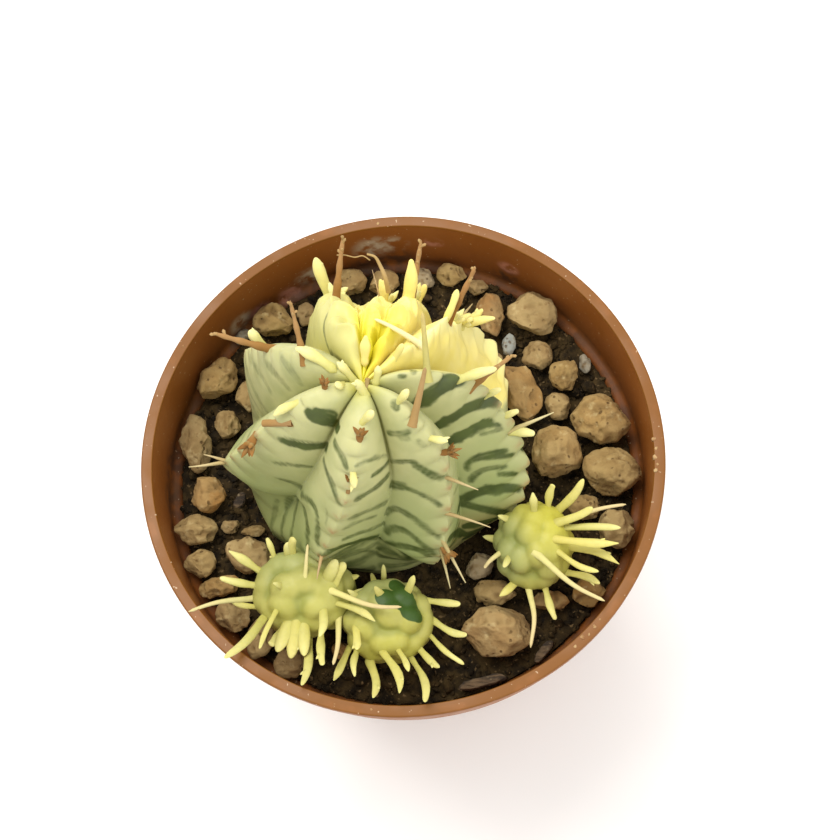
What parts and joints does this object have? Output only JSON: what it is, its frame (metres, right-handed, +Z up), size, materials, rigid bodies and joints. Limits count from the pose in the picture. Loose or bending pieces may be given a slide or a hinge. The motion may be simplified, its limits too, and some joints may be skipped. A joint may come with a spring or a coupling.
{
  "type": "potted euphorbia",
  "caption": "Small variegated ribbed euphorbia with offsets, growing in a round plastic nursery pot of dark soil top-dressed with pumice stones.",
  "frame": {"origin": "centre of the pot's underside, on the surface that the pot stands on", "axes": "+Z up along the pot's axis; +Y away from the side where the offsets grow; +X to the right as seen from that side"},
  "size_m": [0.085, 0.085, 0.1039],
  "materials": {
    "pot": "satin moulded terracotta-brown plastic, slightly dusty",
    "soil": "dark crumbly potting soil",
    "plant": "waxy succulent skin, cream-green with dark green bands, yellow on the far ribs",
    "offset": "waxy young growth, pale yellow-green to cream",
    "pumice": "porous matt tan stone",
    "bark": "dark weathered bark"
  },
  "bodies": {
    "root": {"pot": "pot", "soil": "soil", "plant": "plant", "offset_west": "offset", "offset_south": "offset", "offset_east": "offset", "pumice_01": "pumice", "pumice_02": "pumice", "pumice_03": "pumice", "pumice_04": "pumice", "pumice_05": "pumice", "pumice_06": "pumice", "pumice_07": "pumice", "pumice_08": "pumice", "pumice_09": "pumice", "pumice_10": "pumice", "pumice_11": "pumice", "pumice_12": "pumice", "pumice_13": "pumice", "pumice_14": "pumice", "pumice_15": "pumice", "pumice_16": "pumice", "pumice_17": "pumice", "pumice_18": "pumice", "pumice_19": "pumice", "pumice_20": "pumice", "pumice_21": "pumice", "pumice_22": "pumice", "pumice_23": "pumice", "pumice_24": "pumice", "pumice_25": "pumice", "pumice_26": "pumice", "pumice_27": "pumice", "pumice_28": "pumice", "pumice_29": "pumice", "pumice_30": "pumice", "pumice_31": "pumice", "pumice_32": "pumice", "pumice_33": "pumice", "pumice_34": "pumice", "pumice_35": "pumice", "pumice_36": "pumice", "pumice_37": "pumice", "pumice_38": "pumice", "pumice_39": "pumice", "pumice_40": "pumice", "pumice_41": "pumice", "pumice_42": "pumice", "pumice_43": "pumice", "bark_1": "bark", "bark_2": "bark", "bark_3": "bark"}
  },
  "joints": []
}
